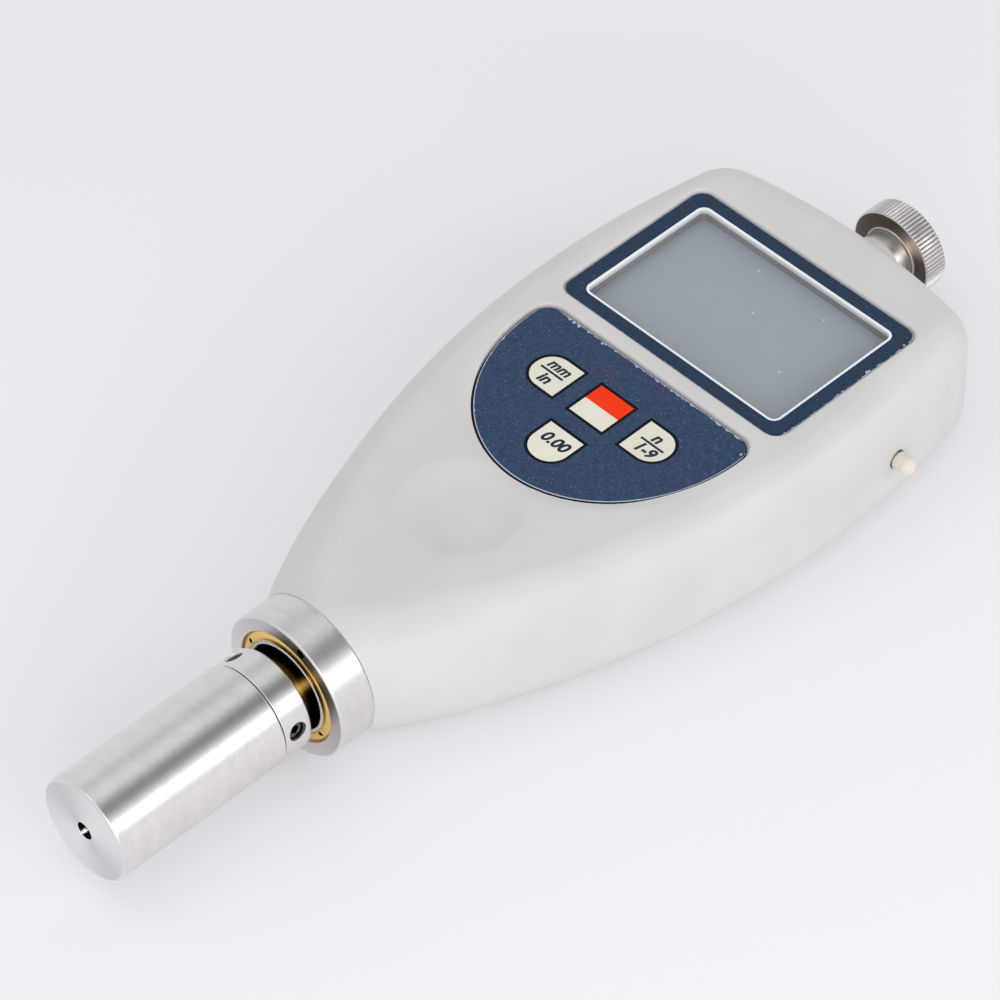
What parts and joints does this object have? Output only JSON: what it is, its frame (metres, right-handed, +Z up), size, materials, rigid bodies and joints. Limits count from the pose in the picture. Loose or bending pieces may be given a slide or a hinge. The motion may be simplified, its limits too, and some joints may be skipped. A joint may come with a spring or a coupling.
{
  "type": "surface roughness tester",
  "caption": "Hand-held surface roughness tester with a spring-loaded needle in a round steel foot, display, keypad film, side button and knurled rear knob.",
  "frame": {"origin": "on the flat back face that the instrument lies on, on its centre line, midway along its length", "axes": "+Y along the probe axis from the measuring foot to the rear knob, +X to the right of the display, +Z up out of the display"},
  "size_m": [0.068, 0.181, 0.0252],
  "materials": {
    "case_plastic": "fine matt moulded plastic",
    "label_film": "satin printed film",
    "keypad_film": "fine matt printed film",
    "cream_film": "printed film",
    "signal_film": "printed film",
    "clear_plastic": "clear polished pane",
    "display_glass": "reflective display",
    "cream_plastic": "moulded plastic",
    "grey_plastic": "moulded plastic",
    "black_plastic": "moulded plastic",
    "white_plastic": "moulded plastic",
    "elastic": "silicone strip",
    "board": "coated laminate",
    "turned_steel": "fine turned",
    "spring_steel": "bright wire",
    "dark_steel": "blackened",
    "brass": "fine turned",
    "copper": "enamelled wire",
    "cell_sleeve": "printed sleeve, left plain",
    "ferrite": "sintered"
  },
  "bodies": {
    "case": {"front_shell": "case_plastic", "rear_shell": "case_plastic", "battery_cells": "cell_sleeve", "contact_springs": "spring_steel", "contact_plates": "spring_steel", "display_label": "label_film", "display_lens": "clear_plastic", "lcd_glass": "display_glass", "lcd_frame": "grey_plastic", "lcd_connectors": "elastic", "keypad_overlay": "keypad_film", "key_switches": "black_plastic", "main_board": "board", "controller_chip": "black_plastic", "board_screws": "spring_steel", "side_switch": "black_plastic", "flange_ring": "turned_steel", "flange_nut": "turned_steel", "retaining_ring": "brass", "liner_ring": "white_plastic", "guide_bush": "brass", "spring_seat": "black_plastic", "probe_spring": "spring_steel", "stand_post": "turned_steel", "case_screws": "spring_steel"},
    "door": {"battery_door": "case_plastic"},
    "probe": {"foot": "turned_steel", "foot_collar": "turned_steel", "clamp_screws": "dark_steel", "probe_stem": "brass", "stem_stop": "turned_steel", "stylus_guide": "brass", "coil_bobbin": "cream_plastic", "sensor_coil": "copper", "stem_plug": "cream_plastic", "stylus_spring": "spring_steel"},
    "needle": {"stylus": "turned_steel", "sensor_core": "ferrite"},
    "knob": {"rear_knob": "turned_steel"},
    "unit": {"unit_key": "cream_film", "unit_plunger": "black_plastic"},
    "power": {"power_key": "signal_film", "power_plunger": "black_plastic"},
    "average": {"average_key": "cream_film", "average_plunger": "black_plastic"},
    "zero": {"zero_key": "cream_film", "zero_plunger": "black_plastic"},
    "button": {"side_button": "cream_plastic"}
  },
  "joints": [
    {"name": "foot_slide", "type": "slide", "parent": "case", "child": "probe", "axis": [0, 1, 0], "range_m": [0, 0.0023], "stiffness_N_per_m": 1500, "deforming": ["probe_spring"]},
    {"name": "stylus_slide", "type": "slide", "parent": "probe", "child": "needle", "axis": [0, 1, 0], "range_m": [0, 0.0009], "stiffness_N_per_m": 800, "deforming": ["stylus_spring"]},
    {"name": "knob_turn", "type": "hinge", "parent": "case", "child": "knob", "pos_m": [0, 0.0879, 0.0126], "axis": [0, 1, 0], "continuous": true},
    {"name": "door_swing", "type": "hinge", "parent": "case", "child": "door", "pos_m": [0, 0.0113, 0.00045], "axis": [-1, 0, 0], "range_deg": [0, 75]},
    {"name": "unit_press", "type": "slide", "parent": "case", "child": "unit", "axis": [0, 0, -1], "range_m": [0, 0.0003], "stiffness_N_per_m": 3000},
    {"name": "power_press", "type": "slide", "parent": "case", "child": "power", "axis": [0, 0, -1], "range_m": [0, 0.0003], "stiffness_N_per_m": 3000},
    {"name": "average_press", "type": "slide", "parent": "case", "child": "average", "axis": [0, 0, -1], "range_m": [0, 0.0003], "stiffness_N_per_m": 3000},
    {"name": "zero_press", "type": "slide", "parent": "case", "child": "zero", "axis": [0, 0, -1], "range_m": [0, 0.0003], "stiffness_N_per_m": 3000},
    {"name": "button_press", "type": "slide", "parent": "case", "child": "button", "axis": [-1, 0, 0], "range_m": [0, 0.0012], "stiffness_N_per_m": 1000}
  ]
}
